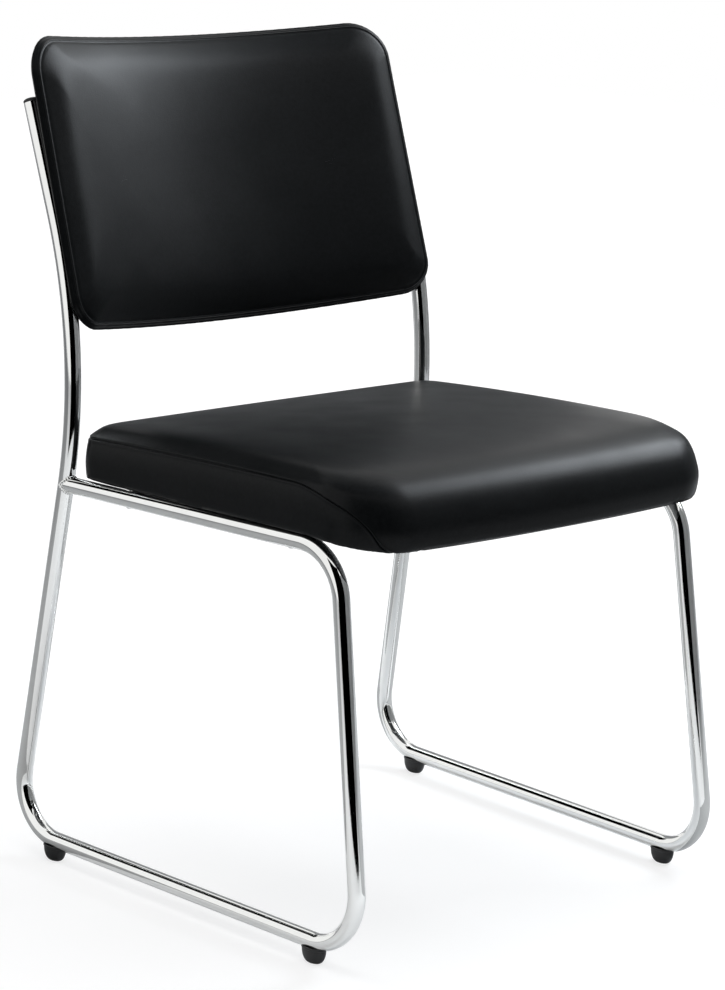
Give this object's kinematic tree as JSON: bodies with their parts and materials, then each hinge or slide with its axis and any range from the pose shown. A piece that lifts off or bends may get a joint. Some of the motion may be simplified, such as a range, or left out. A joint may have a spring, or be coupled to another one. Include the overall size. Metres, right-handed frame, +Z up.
{
  "type": "sled base visitor chair",
  "caption": "Armless visitor chair with a bent chrome tube sled base, an upholstered seat and a curved padded back.",
  "frame": {"origin": "On the floor, under the middle of the chair's bounding box.", "axes": "+Z up, the chair faces -Y, +X is to the right of someone who looks along +Y."},
  "size_m": [0.5304, 0.5846, 0.8361],
  "materials": {
    "chrome_tube": "mirror bright chrome plating",
    "black_leatherette": "satin coated fabric, sewn",
    "pale_foam": "open cell foam",
    "plywood": "sanded plywood",
    "zinc_steel": "zinc plated steel",
    "black_plastic": "moulded plastic, satin",
    "black_cloth": "non-woven dust cloth"
  },
  "bodies": {
    "root": {"side_frame_left": "chrome_tube", "upright_plug_left": "black_plastic", "glide_front_left": "black_plastic", "glide_rear_left": "black_plastic", "side_frame_right": "chrome_tube", "upright_plug_right": "black_plastic", "glide_front_right": "black_plastic", "glide_rear_right": "black_plastic", "cross_tube_front": "chrome_tube", "seat_bolt_front_left": "zinc_steel", "seat_nut_front_left": "zinc_steel", "seat_bolt_front_right": "zinc_steel", "seat_nut_front_right": "zinc_steel", "cross_tube_rear": "chrome_tube", "seat_bolt_rear_left": "zinc_steel", "seat_nut_rear_left": "zinc_steel", "seat_bolt_rear_right": "zinc_steel", "seat_nut_rear_right": "zinc_steel", "seat_dust_cover": "black_cloth", "seat_board": "plywood", "seat_foam": "pale_foam", "seat_cover": "black_leatherette", "back_board": "plywood", "back_foam": "pale_foam", "back_cover": "black_leatherette", "back_rear_panel": "black_leatherette", "back_lug_left_lower": "chrome_tube", "back_bolt_left_lower": "zinc_steel", "back_nut_left_lower": "zinc_steel", "back_lug_left_upper": "chrome_tube", "back_bolt_left_upper": "zinc_steel", "back_nut_left_upper": "zinc_steel", "back_lug_right_lower": "chrome_tube", "back_bolt_right_lower": "zinc_steel", "back_nut_right_lower": "zinc_steel", "back_lug_right_upper": "chrome_tube", "back_bolt_right_upper": "zinc_steel", "back_nut_right_upper": "zinc_steel"}
  },
  "joints": []
}
